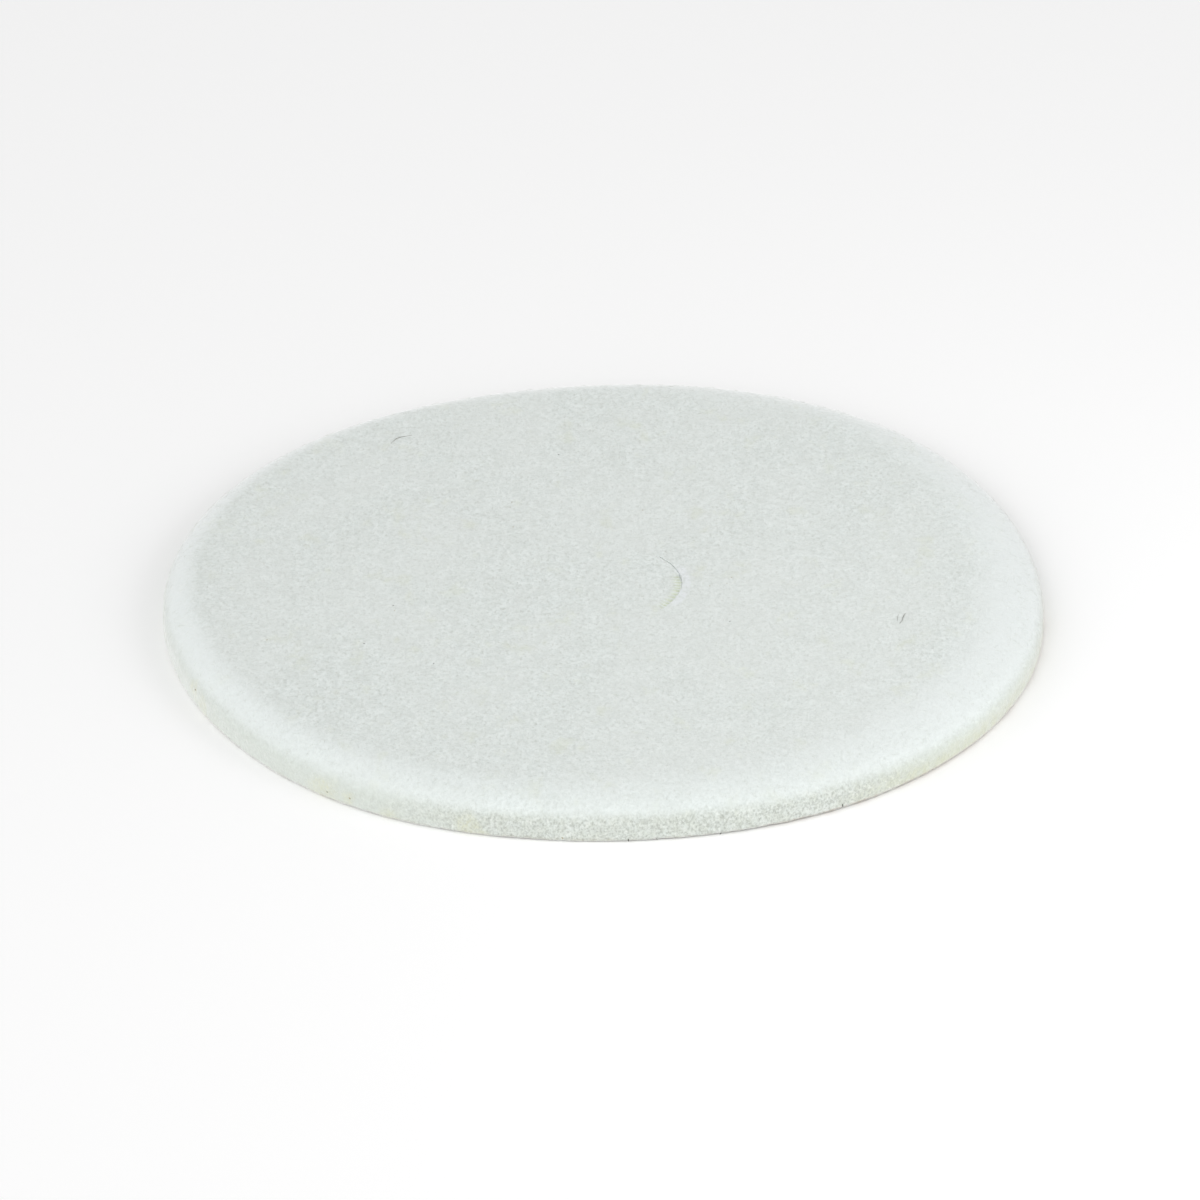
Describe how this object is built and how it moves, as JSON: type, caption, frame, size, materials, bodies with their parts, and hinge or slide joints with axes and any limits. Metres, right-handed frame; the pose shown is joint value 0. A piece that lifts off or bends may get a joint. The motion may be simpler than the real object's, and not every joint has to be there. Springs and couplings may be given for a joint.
{
  "type": "felt polishing wheel",
  "caption": "White pressed-felt polishing wheel with a rounded shoulder and a lift-out centre plug over a threaded hub on a thin backing plate.",
  "frame": {"origin": "centre of the flat back, where the spin axis meets the surface that the wheel lies on", "axes": "+Z along the spin axis from the back to the polishing face; X and Y in the plane of the back"},
  "size_m": [0.2032, 0.2032, 0.0095],
  "materials": {
    "felt": "pressed wool felt, fine mottled nap",
    "plug_felt": "pressed wool felt, same as the disc",
    "cement": "dried contact cement, satin",
    "backing": "paper phenolic sheet, satin",
    "hub_steel": "turned steel, zinc plated",
    "rivet": "flush set, dull"
  },
  "bodies": {
    "wheel": {"felt_disc": "felt", "bond_film": "cement", "backing_plate": "backing", "threaded_hub": "hub_steel", "hub_rivets": "rivet"},
    "plug": {"centre_plug": "plug_felt"}
  },
  "joints": [
    {"name": "plug_lift", "type": "slide", "parent": "wheel", "child": "plug", "axis": [0, 0, 1], "range_m": [0, 0.014]}
  ]
}
